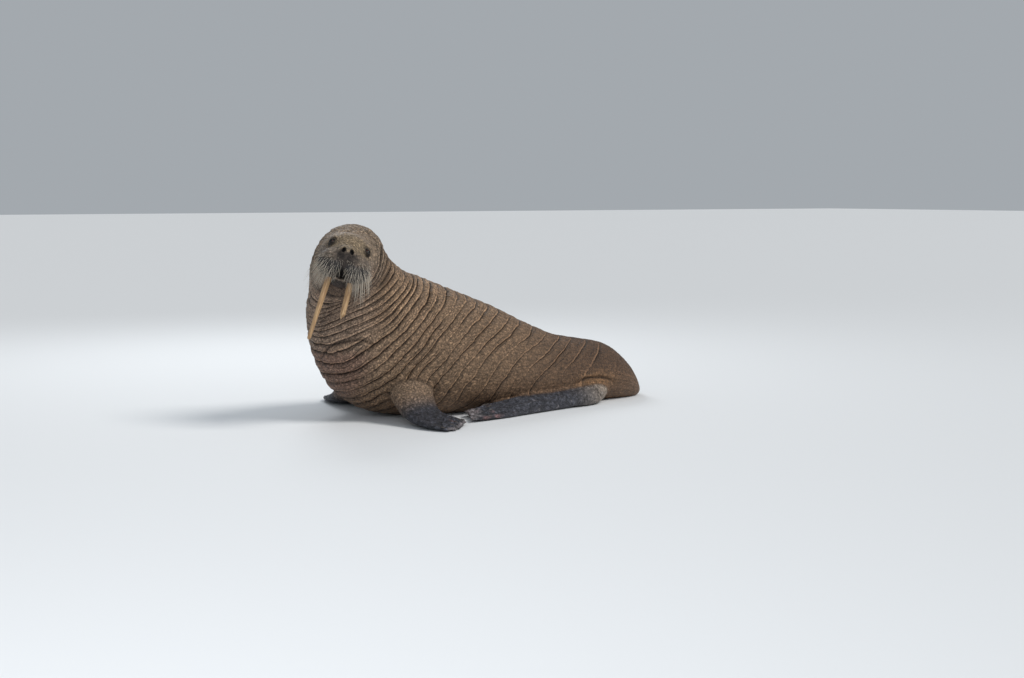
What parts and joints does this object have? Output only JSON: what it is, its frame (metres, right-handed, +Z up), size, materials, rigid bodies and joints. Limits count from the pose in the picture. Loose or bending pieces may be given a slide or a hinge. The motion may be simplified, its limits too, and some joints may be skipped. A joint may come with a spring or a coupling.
{
  "type": "walrus",
  "caption": "Life-size still model of an adult walrus lying on its belly with chest raised, head turned to its left, long tusks and bristled muzzle.",
  "frame": {"origin": "On the floor, under the middle of the whole animal's bounding box.", "axes": "+Z is up. The animal faces -Y and its tail lies to +Y. Its left side is +X."},
  "size_m": [1.757, 2.7287, 1.2522],
  "materials": {
    "hide": "thick brown wrinkled skin with thin short hair",
    "flipper_hide": "bare dark grey wrinkled skin",
    "muzzle_hide": "grey-brown skin set with stiff pale bristles",
    "ivory": "yellowed satin ivory with fine lengthwise cracks",
    "eye": "wet and dark brown"
  },
  "bodies": {
    "root": {"hindquarters": "hide", "loins": "hide", "back": "hide", "shoulders": "hide", "neck": "hide", "head": "hide", "lower_jaw": "hide", "whisker_pad_left": "muzzle_hide", "whisker_pad_right": "muzzle_hide", "eye_left": "eye", "eye_right": "eye", "tusk_left": "ivory", "tusk_right": "ivory", "fore_flipper_left": "flipper_hide", "fore_flipper_right": "flipper_hide", "hind_flipper_left": "flipper_hide", "hind_flipper_right": "flipper_hide", "tail": "flipper_hide"}
  },
  "joints": []
}
